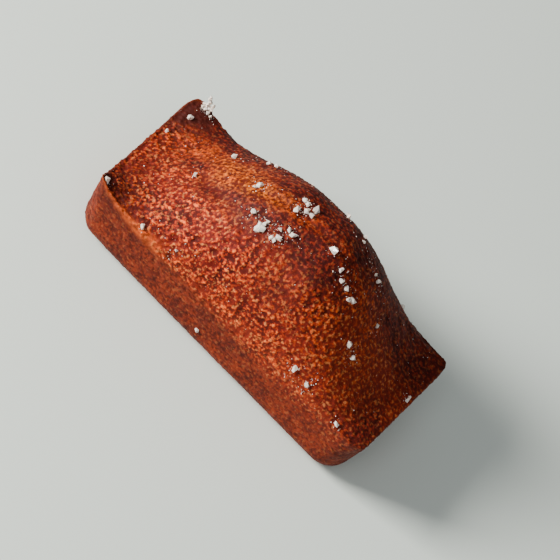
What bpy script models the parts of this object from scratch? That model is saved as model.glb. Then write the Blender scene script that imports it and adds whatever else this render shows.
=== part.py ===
"""A financier: a small oblong almond cake, baked in a straight-sided mould and finished with sugar crystals.

The cake stands on its flat base, with the origin at the middle of it. X runs along the cake, Y across it and
Z up. Lengths are in metres. u and v are places on the top crust: each runs from -1 to 1, from one rim to the
other.
"""

import math
import random

import bmesh
import bpy
from mathutils import Euler, Vector, noise

# The mould, which gives the cake its base and walls.
RIM_LENGTH = 0.0970
RIM_WIDTH = 0.0435
HALF_LENGTH = RIM_LENGTH / 2
HALF_WIDTH = RIM_WIDTH / 2
WALL_HEIGHT = 0.0194
END_DRAFT = 0.0017  # how far each end wall leans in from rim to base
SIDE_DRAFT = 0.0010
BASE_FILLET = 0.0062
BASE_CORNER_RADIUS = 0.0086

# The rim, where the batter climbed the mould and baked hard. At each corner, by the signs of x and y:
# how far it stands up into an ear, how round the corner is in plan, and an exponent for how soon the ear
# falls along the side. The larger the exponent, the nearer to the corner the ear ends.
EAR_RISE = {(-1, -1): 0.0060, (1, -1): 0.0014, (1, 1): 0.0006, (-1, 1): 0.0058}
RIM_CORNER_RADIUS = {(-1, -1): 0.0018, (1, -1): 0.0038, (1, 1): 0.0030, (-1, 1): 0.0044}
EAR_FALL_ALONG = {(-1, -1): 6, (1, -1): 5, (1, 1): 5, (-1, 1): 3}
EAR_FALL_ACROSS = 3
RIM_WAVE = 0.0009  # how far the rim sags and swells between its corners
RIM_WAVE_RATE = 2.6
RIM_WAVE_START = -0.5
LIP_OVERHANG = 0.00035
LIP_DEPTH = 0.0009  # how far down the wall the overhang fades
GUTTER_DEPTH = 0.00055  # the dip just inside the rim
GUTTER_OFFSET = 0.0014
GUTTER_WIDTH = 0.0009
RIM_EASE = 0.004  # the crust's unevenness fades to nothing this near the rim

# The dome, which rises from the rim to a crest along the middle.
DOME_RISE = 0.0272
SHOULDER = 0.89  # share of the half length over which each end climbs
MIDDLE_FULLNESS = 0.51  # exponent of the cross-section: small is full, large is peaked
END_FULLNESS = 0.96
SWELL_RISE = 0.00045  # slow unevenness of the whole crust
SWELL_SIZE = 0.0095

# The crest, a low ridge whose crust split as it rose. It swings to the far rim at the left end.
CREST_MIDDLE = -0.07
CREST_SWING = 0.46
CREST_SWING_START = -0.36
CREST_SWING_LENGTH = 0.50
CREST_WANDER = 0.035
CREST_WANDER_RATE = 7.0
CREST_RISE = 0.00085
CREST_WIDTH = 0.0036
CREST_ENDS = (-0.90, 0.62)
SPLIT_DEPTH = 0.0010
SPLIT_WIDTH = 0.0016
SPLIT_ENDS = (-0.46, 0.34)

# The fold, a shallow crease that leaves the crest and runs down the front of the dome.
FOLD_START = -0.08
FOLD_FALL = 0.47
FOLD_LENGTH = 0.50
FOLD_DEPTH = 0.00075
FOLD_WIDTH = 0.0022
FOLD_ENDS = (-0.72, -0.08)

# The mesh: its rows of points along and across the top, and down the wall.
ROWS_ALONG = 58
ROWS_ACROSS = 34
END_CROWDING = 0.34  # how far the rows gather towards the two ends
WALL_HEIGHTS = (0.962, 0.90, 0.78, 0.58, 0.38)  # shares of the wall, above the fillet
FILLET_STEPS = 4

# Sugar crystals. Each patch: its middle u and v, its spread in u and v, how many crystals it has, and the
# smallest and largest of them.
SUGAR_SEED = 11
CRYSTAL_SEED = 59
SUGAR_PATCHES = (
    (-0.95, -0.93, 0.005, 0.01, 1, 0.0021, 0.0023),
    (-0.87, 0.93, 0.04, 0.02, 5, 0.0010, 0.0016),
    (-0.66, -0.11, 0.01, 0.02, 1, 0.0012, 0.0015),
    (-0.58, 0.45, 0.01, 0.02, 1, 0.0019, 0.0022),
    (-0.37, -0.02, 0.02, 0.08, 3, 0.0013, 0.0018),
    (-0.12, 0.02, 0.05, 0.10, 8, 0.0013, 0.0025),
    (-0.15, -0.44, 0.08, 0.08, 9, 0.0012, 0.0021),
    (-0.07, -0.32, 0.04, 0.03, 2, 0.0012, 0.0018),
    (0.15, -0.15, 0.01, 0.01, 1, 0.0024, 0.0026),
    (0.31, -0.22, 0.09, 0.09, 5, 0.0014, 0.0022),
    (0.57, -0.45, 0.04, 0.04, 2, 0.0016, 0.0021),
    (0.58, 0.06, 0.01, 0.01, 1, 0.0014, 0.0018),
    (0.35, 0.34, 0.15, 0.07, 4, 0.0010, 0.0016),
    (0.00, 0.65, 0.45, 0.14, 6, 0.0011, 0.0019),
    (-0.30, -0.385, 0.015, 0.01, 2, 0.0014, 0.0018),
    (-0.64, -0.955, 0.01, 0.005, 1, 0.0013, 0.0015),
    (-0.44, -0.955, 0.01, 0.005, 1, 0.0011, 0.0013),
    (0.43, -0.955, 0.01, 0.005, 1, 0.0018, 0.0019),
    (0.54, -0.955, 0.02, 0.005, 2, 0.0011, 0.0013),
    (0.785, -0.95, 0.01, 0.005, 1, 0.0017, 0.0018),
    (0.955, 0.14, 0.005, 0.06, 2, 0.0013, 0.0015),
)
# Crystals caught on the rim. Each: side or end of the rim, from where to where along it, and how many.
SUGAR_ON_RIM = (
    ("side", 1, -0.60, 0.75, 5),
    ("end", -1, 0.25, 0.80, 2),
)
RIM_SUGAR_SIZES = (0.0012, 0.0020)
RIM_SUGAR_PLACE = (0.915, 0.955)
SUGAR_ON_WALL = (-0.08, 0.40, 0.0013)  # one on the front wall: its u, its share of the height, its size
# Crystals that melted together and stand on the rim of the back left ear. Their foot's u and v, and then for
# each: how far it sits along from the foot, how far above it, and its size.
STACK_FOOT = (-0.89, 0.955)
SUGAR_STACK = (
    (-0.0013, 0.0007, 0.0012),
    (-0.0006, 0.0007, 0.0014),
    (0.0002, 0.0006, 0.0015),
    (0.0010, 0.0006, 0.0014),
    (0.0009, 0.0014, 0.0013),
    (0.0009, 0.0022, 0.0012),
    (-0.0002, 0.0014, 0.0015),
    (-0.0004, 0.0022, 0.0014),
    (-0.0007, 0.0029, 0.0013),
    (-0.0009, 0.0036, 0.0011),
    (-0.0011, 0.0042, 0.0010),
)
SUGAR_STAND = 0.12  # share of a crystal's size by which its middle stands above the crust
CRYSTAL_BLUNTNESS = (0.62, 1.0)  # how uneven a crystal's sides and corners are


def smooth(x):
    """0 below 0, 1 above 1, and an even S between them."""
    x = min(max(x, 0.0), 1.0)
    return x * x * (3 - 2 * x)


def bump(distance, width):
    """A round bump of height 1 at distance 0."""
    return math.exp(-((distance / width) ** 2))


def between(u, ends):
    """1 inside the stretch, easing to 0 over a fifth of it at each end."""
    ease = (ends[1] - ends[0]) / 5
    return smooth((u - ends[0]) / ease) * smooth((ends[1] - u) / ease)


def crest_line(u):
    """The v of the crest at u."""
    swing = CREST_SWING * smooth((CREST_SWING_START - u) / CREST_SWING_LENGTH)
    return CREST_MIDDLE + swing + CREST_WANDER * math.sin(CREST_WANDER_RATE * u)


def fold_line(u):
    """The v of the fold at u."""
    return FOLD_START - FOLD_FALL * smooth((u - FOLD_ENDS[0]) / FOLD_LENGTH)


def plan(u, v, half_length, half_width, corner):
    """The place (x, y) of (u, v) in an oblong with rounded corners."""
    x = abs(u) * half_length
    y = abs(v) * half_width
    past_x = (x - (half_length - corner)) / corner
    past_y = (y - (half_width - corner)) / corner
    if past_x > 0 and past_y > 0:
        x = half_length - corner + corner * past_x * math.sqrt(1 - past_y**2 / 2)
        y = half_width - corner + corner * past_y * math.sqrt(1 - past_x**2 / 2)
    return math.copysign(x, u), math.copysign(y, v)


def corner_of(x, y):
    """The signs that name the corner nearest to (x, y)."""
    return -1 if x < 0 else 1, -1 if y < 0 else 1


def rim_height(x, y):
    """Height of the rim, which waves a little and stands up into an ear at each corner."""
    u = x / HALF_LENGTH
    v = y / HALF_WIDTH
    wave = RIM_WAVE * math.sin(RIM_WAVE_RATE * u + RIM_WAVE_START) * (1 - u * u)
    corner = corner_of(x, y)
    ear = EAR_RISE[corner] * abs(u) ** EAR_FALL_ALONG[corner] * abs(v) ** EAR_FALL_ACROSS
    return WALL_HEIGHT + wave + ear


def from_rim(x, y):
    """How far (x, y) lies inside the rim."""
    to_end = HALF_LENGTH - abs(x)
    to_side = HALF_WIDTH - abs(y)
    corner = RIM_CORNER_RADIUS[corner_of(x, y)]
    if max(to_end, to_side) < corner:
        return corner - math.hypot(corner - to_end, corner - to_side)
    return min(to_end, to_side)


def crust_height(x, y):
    """Height of the top crust over the place (x, y)."""
    u = x / HALF_LENGTH
    v = y / HALF_WIDTH
    fullness = MIDDLE_FULLNESS + (END_FULLNESS - MIDDLE_FULLNESS) * abs(u) ** 3
    across = max(0.0, 1 - v * v) ** fullness
    along = smooth((1 - abs(u)) / SHOULDER)
    z = rim_height(x, y) + DOME_RISE * along * across

    inside = from_rim(x, y)
    free = smooth(inside / RIM_EASE)
    z -= GUTTER_DEPTH * bump(inside - GUTTER_OFFSET, GUTTER_WIDTH)
    z += free * SWELL_RISE * noise.noise(Vector((x, y, 0.0)) / SWELL_SIZE)

    from_crest = (v - crest_line(u)) * HALF_WIDTH
    z += free * CREST_RISE * bump(from_crest, CREST_WIDTH) * between(u, CREST_ENDS)
    z -= SPLIT_DEPTH * bump(from_crest, SPLIT_WIDTH) * between(u, SPLIT_ENDS)
    from_fold = (v - fold_line(u)) * HALF_WIDTH
    z -= FOLD_DEPTH * bump(from_fold, FOLD_WIDTH) * between(u, FOLD_ENDS)
    return z


def top_point(u, v):
    """A point on the top crust."""
    x, y = plan(u, v, HALF_LENGTH, HALF_WIDTH, RIM_CORNER_RADIUS[corner_of(u, v)])
    return Vector((x, y, crust_height(x, y)))


def rim_over(u, v):
    """Height of the rim above the wall's place (u, v)."""
    return rim_height(*plan(u, v, HALF_LENGTH, HALF_WIDTH, RIM_CORNER_RADIUS[corner_of(u, v)]))


def wall_corner(u, v, height):
    """Corner radius of the wall at a share of its height: sharper at the rim than at the base."""
    return RIM_CORNER_RADIUS[corner_of(u, v)] * height + BASE_CORNER_RADIUS * (1 - height)


def wall_point(u, v, height):
    """A point of the wall below the rim point (u, v), at a share of the wall's height."""
    lean = 1 - height
    hang_back = LIP_OVERHANG * (1 - bump(lean * WALL_HEIGHT, LIP_DEPTH))
    half_length = HALF_LENGTH - END_DRAFT * lean - hang_back
    half_width = HALF_WIDTH - SIDE_DRAFT * lean - hang_back
    x, y = plan(u, v, half_length, half_width, wall_corner(u, v, height))
    return Vector((x, y, rim_over(u, v) * height))


def fillet_point(u, v, turn):
    """A point of the rounded lower edge: turn 0 is where it leaves the wall, and 1 is on the base."""
    start = BASE_FILLET / WALL_HEIGHT
    lean = 1 - start
    angle = turn * math.pi / 2
    inset = BASE_FILLET * (1 - math.cos(angle))
    half_length = HALF_LENGTH - END_DRAFT * lean - LIP_OVERHANG - inset
    half_width = HALF_WIDTH - SIDE_DRAFT * lean - LIP_OVERHANG - inset
    x, y = plan(u, v, half_length, half_width, wall_corner(u, v, start) - inset)
    return Vector((x, y, rim_over(u, v) * start * (1 - math.sin(angle))))


def rows(count, crowding):
    """Places from -1 to 1 that gather towards both ends."""
    steps = [2 * i / count - 1 for i in range(count + 1)]
    return [(1 + crowding) * s - crowding * s**3 for s in steps]


def make_cake():
    """The bare cake: a grid for the top, rings down the wall and one flat face for the base."""
    us = rows(ROWS_ALONG, END_CROWDING)
    vs = [math.sin(math.pi / 2 * (2 * j / ROWS_ACROSS - 1)) for j in range(ROWS_ACROSS + 1)]
    mesh = bmesh.new()
    grid = [[mesh.verts.new(top_point(u, v)) for v in vs] for u in us]
    for i in range(ROWS_ALONG):
        for j in range(ROWS_ACROSS):
            mesh.faces.new((grid[i][j], grid[i + 1][j], grid[i + 1][j + 1], grid[i][j + 1]))

    edge = [(i, 0) for i in range(ROWS_ALONG)]
    edge += [(ROWS_ALONG, j) for j in range(ROWS_ACROSS)]
    edge += [(i, ROWS_ACROSS) for i in range(ROWS_ALONG, 0, -1)]
    edge += [(0, j) for j in range(ROWS_ACROSS, 0, -1)]
    upper = [grid[i][j] for i, j in edge]
    rings = [[wall_point(us[i], vs[j], height) for i, j in edge] for height in WALL_HEIGHTS]
    turns = [step / FILLET_STEPS for step in range(FILLET_STEPS + 1)]
    rings += [[fillet_point(us[i], vs[j], turn) for i, j in edge] for turn in turns]
    for ring in rings:
        lower = [mesh.verts.new(point) for point in ring]
        for k in range(len(edge)):
            after = (k + 1) % len(edge)
            mesh.faces.new((upper[k], lower[k], lower[after], upper[after]))
        upper = lower
    mesh.faces.new(reversed(upper))
    bmesh.ops.recalc_face_normals(mesh, faces=mesh.faces)
    return mesh


def crust_normal(x, y, step=0.0005):
    """The way the top crust faces at (x, y)."""
    along = (crust_height(x + step, y) - crust_height(x - step, y)) / (2 * step)
    across = (crust_height(x, y + step) - crust_height(x, y - step)) / (2 * step)
    return Vector((-along, -across, 1.0)).normalized()


def sugar_places():
    """Where each crystal sits, and how large it is: a list of (u, v, size)."""
    draw = random.Random(SUGAR_SEED)
    places = []
    for u, v, spread_u, spread_v, count, small, large in SUGAR_PATCHES:
        for _ in range(count):
            place_u = u + spread_u * draw.uniform(-1, 1)
            place_v = v + spread_v * draw.uniform(-1, 1)
            places.append((place_u, place_v, draw.uniform(small, large)))
    for kind, sign, start, end, count in SUGAR_ON_RIM:
        for k in range(count):
            along = start + (end - start) * (k + draw.uniform(0.1, 0.9)) / count
            across = sign * draw.uniform(*RIM_SUGAR_PLACE)
            place = (along, across) if kind == "side" else (across, along)
            places.append((*place, draw.uniform(*RIM_SUGAR_SIZES)))
    return places


def sugar_seats():
    """Where each crystal touches the cake, the way the cake faces there, and the crystal's size."""
    seats = []
    for u, v, size in sugar_places():
        seat = top_point(u, v)
        seats.append((seat, crust_normal(seat.x, seat.y), size))
    u, height, size = SUGAR_ON_WALL
    seats.append((wall_point(u, -1, height), Vector((0, -1, 0)), size))
    foot = top_point(*STACK_FOOT)
    for along, above, size in SUGAR_STACK:
        seats.append((foot + Vector((along, 0, above)), Vector((0, 0, 1)), size))
    return seats


def make_crystal(size, draw):
    """One crystal: a small block with its corners knocked about."""
    mesh = bmesh.new()
    sides = [size * draw.uniform(*CRYSTAL_BLUNTNESS) for _ in range(3)]
    for corner in range(8):
        signs = [1 if corner >> bit & 1 else -1 for bit in range(3)]
        place = [s * side / 2 * draw.uniform(*CRYSTAL_BLUNTNESS) for s, side in zip(signs, sides)]
        mesh.verts.new(place)
    for axis in range(3):
        tip = Vector([0.0, 0.0, 0.0])
        tip[axis] = sides[axis] / 2 * draw.choice((-1, 1))
        mesh.verts.new(tip)
    hull = bmesh.ops.convex_hull(mesh, input=mesh.verts)
    loose = {g for g in hull["geom_interior"] if isinstance(g, bmesh.types.BMVert)}
    bmesh.ops.delete(mesh, geom=list(loose), context="VERTS")
    bmesh.ops.recalc_face_normals(mesh, faces=mesh.faces)
    return mesh


def add_object(name, mesh, collection):
    """An object made from a bmesh, which is freed."""
    data = bpy.data.meshes.new(name)
    mesh.to_mesh(data)
    mesh.free()
    made = bpy.data.objects.new(name, data)
    collection.objects.link(made)
    return made


def make_material(name, colour, roughness):
    """A plain Principled material."""
    material = bpy.data.materials.new(name)
    material.use_nodes = True
    shader = material.node_tree.nodes["Principled BSDF"]
    shader.inputs["Base Color"].default_value = (*colour, 1.0)
    shader.inputs["Roughness"].default_value = roughness
    shader.inputs["Metallic"].default_value = 0.0
    return material


def fuse_sugar(cake):
    """Joins the crystals to the cake with one Boolean, then removes the loose ones."""
    draw = random.Random(CRYSTAL_SEED)
    crystals = bpy.data.collections.new("crystals")
    bpy.context.scene.collection.children.link(crystals)
    for seat, outwards, size in sugar_seats():
        crystal = add_object("crystal", make_crystal(size, draw), crystals)
        crystal.rotation_euler = Euler([draw.uniform(0, math.tau) for _ in range(3)])
        crystal.location = seat + outwards * size * SUGAR_STAND
    join = cake.modifiers.new("sugar", "BOOLEAN")
    join.operation = "UNION"
    join.solver = "EXACT"
    join.operand_type = "COLLECTION"
    join.collection = crystals
    graph = bpy.context.evaluated_depsgraph_get()
    fused = bpy.data.meshes.new_from_object(cake.evaluated_get(graph))
    cake.modifiers.remove(join)
    cake.data = fused
    for crystal in list(crystals.objects):
        bpy.data.objects.remove(crystal)
    bpy.data.collections.remove(crystals)


def main():
    for old in list(bpy.data.objects):
        bpy.data.objects.remove(old)
    cake = add_object("financier", make_cake(), bpy.context.scene.collection)
    fuse_sugar(cake)
    cake.data.shade_smooth()
    cake.data.set_sharp_from_angle(angle=math.radians(40))
    cake.data.materials.clear()
    cake.data.materials.append(make_material("crust", (0.26, 0.065, 0.022), 0.62))


main()
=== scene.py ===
# %% [markdown]
# # A sugared almond cake
#
# A financier is a small oblong cake of almond flour, browned butter and egg white. It bakes in a plain metal
# mould, so its base and walls are flat and smooth, while the top rises freely into a tall dome with a grainy
# crust. Coarse sugar is thrown on before it bakes, and some of it sticks.
#
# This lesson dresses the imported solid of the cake. The solid has the right form and size, but its faces are
# large and its sugar is only a bump. The dressed cake is made of these pieces:
#
# - the crust: one closed skin over the same form, fine enough to carry its grain as real relief
# - the coarse sugar crystals, on the places where the solid has them
# - finer sugar, strewn among the coarse crystals
# - crumbs of browned crust that have broken from the rim

import math
import random

import bpy
import numpy as np
from mathutils import Matrix, Vector, noise


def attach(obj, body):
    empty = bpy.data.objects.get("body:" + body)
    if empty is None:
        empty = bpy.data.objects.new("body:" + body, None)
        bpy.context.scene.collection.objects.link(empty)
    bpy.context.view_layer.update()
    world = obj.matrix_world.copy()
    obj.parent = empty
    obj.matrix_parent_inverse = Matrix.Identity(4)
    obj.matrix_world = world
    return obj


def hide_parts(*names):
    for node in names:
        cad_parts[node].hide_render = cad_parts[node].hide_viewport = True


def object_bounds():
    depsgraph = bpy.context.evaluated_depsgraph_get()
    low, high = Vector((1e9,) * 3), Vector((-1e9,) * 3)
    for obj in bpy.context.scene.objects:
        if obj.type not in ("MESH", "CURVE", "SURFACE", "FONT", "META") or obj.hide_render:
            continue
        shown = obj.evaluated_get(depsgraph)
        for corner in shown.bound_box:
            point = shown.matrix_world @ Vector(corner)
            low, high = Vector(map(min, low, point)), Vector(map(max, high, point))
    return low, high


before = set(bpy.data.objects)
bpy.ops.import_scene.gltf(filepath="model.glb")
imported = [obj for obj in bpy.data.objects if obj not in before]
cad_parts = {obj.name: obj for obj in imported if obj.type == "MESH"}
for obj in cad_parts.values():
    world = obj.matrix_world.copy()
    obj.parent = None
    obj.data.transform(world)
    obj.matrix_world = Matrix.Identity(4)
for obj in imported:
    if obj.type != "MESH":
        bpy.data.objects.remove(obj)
CAD_LOW, CAD_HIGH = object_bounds()
size_mm = [round(1000 * (high - low), 1) for low, high in zip(CAD_LOW, CAD_HIGH)]
print("the packed cake measures", size_mm, "mm")

# %% [markdown]
# ## The form
#
# The skin has to lie where the solid lies, so it repeats the solid's own rule and sizes. A place on the top
# is named by u and v, which run from -1 to 1 along and across the cake. The height of the crust there is the
# rim's height, plus a dome that rises smoothly from both ends, plus a low crest, a shallow split and a fold.
#
# The rule could also be read off the solid, by casting a ray on it from above. That would copy the solid's
# flat faces too, so working the rule out again at many more places gives a rounder cake.

# %% The sizes of the mould and of the rim, in metres
HALF_LENGTH = CAD_HIGH.x
HALF_WIDTH = CAD_HIGH.y
WALL_HEIGHT = 0.0194
END_DRAFT = 0.0017
SIDE_DRAFT = 0.0010
BASE_FILLET = 0.0062
BASE_CORNER_RADIUS = 0.0086

EAR_RISE = {(-1, -1): 0.0060, (1, -1): 0.0014, (1, 1): 0.0006, (-1, 1): 0.0058}
RIM_CORNER_RADIUS = {(-1, -1): 0.0018, (1, -1): 0.0038, (1, 1): 0.0030, (-1, 1): 0.0044}
EAR_FALL_ALONG = {(-1, -1): 6, (1, -1): 5, (1, 1): 5, (-1, 1): 3}
EAR_FALL_ACROSS = 3
RIM_WAVE = 0.0009
RIM_WAVE_RATE = 2.6
RIM_WAVE_START = -0.5
LIP_OVERHANG = 0.00035
LIP_DEPTH = 0.0009
GUTTER_DEPTH = 0.00055
GUTTER_OFFSET = 0.0014
GUTTER_WIDTH = 0.0009
RIM_EASE = 0.004

# %% The sizes of the dome, its crest, split and fold
DOME_RISE = 0.0272
SHOULDER = 0.89
MIDDLE_FULLNESS = 0.51
END_FULLNESS = 0.96
SWELL_RISE = 0.00045
SWELL_SIZE = 0.0095

CREST_MIDDLE = -0.07
CREST_SWING = 0.46
CREST_SWING_START = -0.36
CREST_SWING_LENGTH = 0.50
CREST_WANDER = 0.035
CREST_WANDER_RATE = 7.0
CREST_RISE = 0.00085
CREST_WIDTH = 0.0036
CREST_ENDS = (-0.90, 0.62)
SPLIT_DEPTH = 0.0010
SPLIT_WIDTH = 0.0016
SPLIT_ENDS = (-0.46, 0.34)

FOLD_START = -0.08
FOLD_FALL = 0.47
FOLD_LENGTH = 0.50
FOLD_DEPTH = 0.00075
FOLD_WIDTH = 0.0022
FOLD_ENDS = (-0.72, -0.08)


# %% Small shaping helpers
def smooth(x):
    """0 below 0, 1 above 1, and an even S between them."""
    x = min(max(x, 0.0), 1.0)
    return x * x * (3 - 2 * x)


def ramp(x, start, length):
    """0 up to the start, and 1 once the length is passed."""
    return smooth((x - start) / length)


def bump(distance, width):
    """A round bump of height 1 at distance 0."""
    return math.exp(-((distance / width) ** 2))


def between(u, ends):
    """1 inside the stretch, easing to 0 over a fifth of it at each end."""
    ease = (ends[1] - ends[0]) / 5
    return smooth((u - ends[0]) / ease) * smooth((ends[1] - u) / ease)


def corner_of(x, y):
    """The signs that name the corner nearest to (x, y)."""
    return -1 if x < 0 else 1, -1 if y < 0 else 1


def crest_line(u):
    """The v of the crest at u."""
    swing = CREST_SWING * smooth((CREST_SWING_START - u) / CREST_SWING_LENGTH)
    return CREST_MIDDLE + swing + CREST_WANDER * math.sin(CREST_WANDER_RATE * u)


def fold_line(u):
    """The v of the fold at u."""
    return FOLD_START - FOLD_FALL * smooth((u - FOLD_ENDS[0]) / FOLD_LENGTH)


# %% The plan of the mould, and the height of rim and crust
def plan(u, v, half_length, half_width, corner):
    """The place (x, y) of (u, v) in an oblong with rounded corners."""
    x = abs(u) * half_length
    y = abs(v) * half_width
    past_x = (x - (half_length - corner)) / corner
    past_y = (y - (half_width - corner)) / corner
    if past_x > 0 and past_y > 0:
        x = half_length - corner + corner * past_x * math.sqrt(1 - past_y**2 / 2)
        y = half_width - corner + corner * past_y * math.sqrt(1 - past_x**2 / 2)
    return math.copysign(x, u), math.copysign(y, v)


def rim_height(x, y):
    """Height of the rim, which waves a little and stands up into an ear at each corner."""
    u = x / HALF_LENGTH
    v = y / HALF_WIDTH
    wave = RIM_WAVE * math.sin(RIM_WAVE_RATE * u + RIM_WAVE_START) * (1 - u * u)
    corner = corner_of(x, y)
    ear = EAR_RISE[corner] * abs(u) ** EAR_FALL_ALONG[corner] * abs(v) ** EAR_FALL_ACROSS
    return WALL_HEIGHT + wave + ear


def from_rim(x, y):
    """How far (x, y) lies inside the rim."""
    to_end = HALF_LENGTH - abs(x)
    to_side = HALF_WIDTH - abs(y)
    corner = RIM_CORNER_RADIUS[corner_of(x, y)]
    if max(to_end, to_side) < corner:
        return corner - math.hypot(corner - to_end, corner - to_side)
    return min(to_end, to_side)


def crust_height(x, y):
    """Height of the top crust over the place (x, y)."""
    u = x / HALF_LENGTH
    v = y / HALF_WIDTH
    fullness = MIDDLE_FULLNESS + (END_FULLNESS - MIDDLE_FULLNESS) * abs(u) ** 3
    across = max(0.0, 1 - v * v) ** fullness
    along = smooth((1 - abs(u)) / SHOULDER)
    z = rim_height(x, y) + DOME_RISE * along * across

    inside = from_rim(x, y)
    free = smooth(inside / RIM_EASE)
    z -= GUTTER_DEPTH * bump(inside - GUTTER_OFFSET, GUTTER_WIDTH)
    z += free * SWELL_RISE * noise.noise(Vector((x, y, 0.0)) / SWELL_SIZE)

    from_crest = (v - crest_line(u)) * HALF_WIDTH
    z += free * CREST_RISE * bump(from_crest, CREST_WIDTH) * between(u, CREST_ENDS)
    z -= SPLIT_DEPTH * bump(from_crest, SPLIT_WIDTH) * between(u, SPLIT_ENDS)
    from_fold = (v - fold_line(u)) * HALF_WIDTH
    z -= FOLD_DEPTH * bump(from_fold, FOLD_WIDTH) * between(u, FOLD_ENDS)
    return z


print("the crust is", round(1000 * crust_height(0, 0), 1), "mm high in the middle")


def rim_plan(u, v):
    """The place (x, y) of (u, v) inside the rim's outline."""
    return plan(u, v, HALF_LENGTH, HALF_WIDTH, RIM_CORNER_RADIUS[corner_of(u, v)])


def crust_normal(x, y, step=0.0005):
    """The way the top crust faces at (x, y)."""
    along = (crust_height(x + step, y) - crust_height(x - step, y)) / (2 * step)
    across = (crust_height(x, y + step) - crust_height(x, y - step)) / (2 * step)
    return Vector((-along, -across, 1.0)).normalized()


# %% The wall and the rounded lower edge
def wall_corner(u, v, height):
    """Corner radius of the wall at a share of its height: sharper at the rim than at the base."""
    return RIM_CORNER_RADIUS[corner_of(u, v)] * height + BASE_CORNER_RADIUS * (1 - height)


def wall_point(u, v, height):
    """A point of the wall below the rim point (u, v), at a share of the wall's height."""
    lean = 1 - height
    hang_back = LIP_OVERHANG * (1 - bump(lean * WALL_HEIGHT, LIP_DEPTH))
    half_length = HALF_LENGTH - END_DRAFT * lean - hang_back
    half_width = HALF_WIDTH - SIDE_DRAFT * lean - hang_back
    x, y = plan(u, v, half_length, half_width, wall_corner(u, v, height))
    return x, y, rim_height(*rim_plan(u, v)) * height


def fillet_point(u, v, turn):
    """A point of the rounded lower edge: turn 0 is where it leaves the wall, and 1 is on the base."""
    start = BASE_FILLET / WALL_HEIGHT
    lean = 1 - start
    angle = turn * math.pi / 2
    inset = BASE_FILLET * (1 - math.cos(angle))
    half_length = HALF_LENGTH - END_DRAFT * lean - LIP_OVERHANG - inset
    half_width = HALF_WIDTH - SIDE_DRAFT * lean - LIP_OVERHANG - inset
    x, y = plan(u, v, half_length, half_width, wall_corner(u, v, start) - inset)
    return x, y, rim_height(*rim_plan(u, v)) * start * (1 - math.sin(angle))


# %% [markdown]
# ## Where the crust browns, and where shade is painted
#
# An oven browns what stands up and what is thin: the top of the dome, the edge of the rim, and above all the
# corners. A few patches are painted darker as well, partly for uneven heat and partly as painted shade where
# the dome turns from the light. Behind the crest the crust is painted darker, as painted shade on the side
# that faces away from the light. The crest is where the crust split and fresh crumb rose through, so it stays
# golden, and in one stretch as light as honey. Towards the right, and where toast and painted shade lie, its
# grain is calmer. The walls touch the hot mould and turn an even reddish brown. The fold and the gutter
# inside the rim get a dark line of painted shade.
#
# Each of these is a soft mask, a number at every point of the skin. It runs from 0 to 1, except that toast
# and shade may pass 1, which keeps a deep patch dark all over. They could be painted, or worked out in the
# shader.
# Storing them in the mesh keeps them on the surface, and lets both the relief and the colour read the same
# masks.

# %% Masks for the top crust
# Most masks give colour, and "crease_shade" is painted shade along the fold and the gutter. "round" eases the
# edge of the rim, "calm" and "still" hold the grain down, and "sugar" and "rim" say where fine sugar and
# crumbs are strewn.
MASKS = ("wall", "gold", "toast_and_shade", "burn", "round", "crease_shade", "lip", "still", "sugar", "rim", "calm", "honey")
BURN_REACH = {(-1, -1): 0.0130, (1, -1): 0.0090, (1, 1): 0.0090, (-1, 1): 0.0095}
BURN_AT_CORNER = {(-1, -1): 1.0, (1, -1): 0.25, (1, 1): 0.45, (-1, 1): 2.2}
RIM_BURN = 0.95
RIM_BURN_REACH = 0.0014
ROUND_REACHES = (0.0009, 0.0024)
LIP_REACH = 0.0008
LIP_ELSEWHERE = 0.10
LIP_LOST_TO_BURN = 0.6
LIP_ON_EAR = 0.45
LIP_ON_EAR_REACH = 0.0045
GOLD_WIDTHS = (0.0094, 0.0034)
GOLD_ENDS = (-1.10, 0.80)
GOLD_FADE = 0.5
TOAST_HEIGHTS = (0.0380, 0.0450)
TOAST_AT_TOP = 0.92
TOAST_AND_SHADE_AT_MOST = 1.6
CALM_FROM_MIDDLE = 0.7
FOLD_SHADE_WIDTH = 0.0014
GUTTER_SHADE = 0.45
GUTTER_SHADE_WIDTH = 0.0006
GUTTER_SHADE_FADE = 0.8
# Patches painted darker, partly for uneven toast and partly as painted shade where the dome turns from the
# light:
# middle u and v, spread in u and v, and how dark.
DARK_PATCHES = (
    (0.10, -0.30, 0.15, 0.20, 0.85),
    (0.10, 0.08, 0.14, 0.28, 0.60),
    (0.08, -0.58, 0.16, 0.14, 0.30),
    (0.10, -0.78, 0.16, 0.12, 0.90),
    (-0.10, -0.30, 0.10, 0.12, 0.60),
    (-0.22, 0.08, 0.16, 0.30, 0.55),
    (-0.29, -0.41, 0.12, 0.16, 1.25),
    (-0.50, -0.26, 0.14, 0.11, 1.35),
    (-0.70, 0.08, 0.09, 0.13, 1.60),
    (-0.88, -0.20, 0.08, 0.30, 0.60),
    (-0.64, 0.78, 0.32, 0.18, 0.80),
    (0.96, -0.60, 0.16, 0.50, 1.10),
    (0.72, -0.95, 0.30, 0.12, 0.70),
)
# The middle of the honey-coloured stretch of the crest, and its spread.
HONEY = (-0.40, 0.24)
# Stretches over which something sets in, each as a start and a length in u or v.
BURN_AT_LEFT = (0.90, 0.08)
BURN_AT_BACK = (0.80, 0.15)
RIGHT_PART = (-0.35, 0.9)
LIP_AT_FRONT = (0.85, 0.1)
LIP_ENDING = (-0.70, 0.3)
GOLD_NARROWING = (-1, 1.3)
GOLD_FADING = (-0.2, 0.3)
SHADE_BEHIND_CREST = (0.02, 0.42)


def corner_burn(x, y):
    """How deeply the crust is browned by the corner nearest to (x, y)."""
    reach = math.hypot(HALF_LENGTH - abs(x), HALF_WIDTH - abs(y))
    corner = corner_of(x, y)
    return min(BURN_AT_CORNER[corner] * bump(reach, BURN_REACH[corner]), 1.0)


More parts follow.
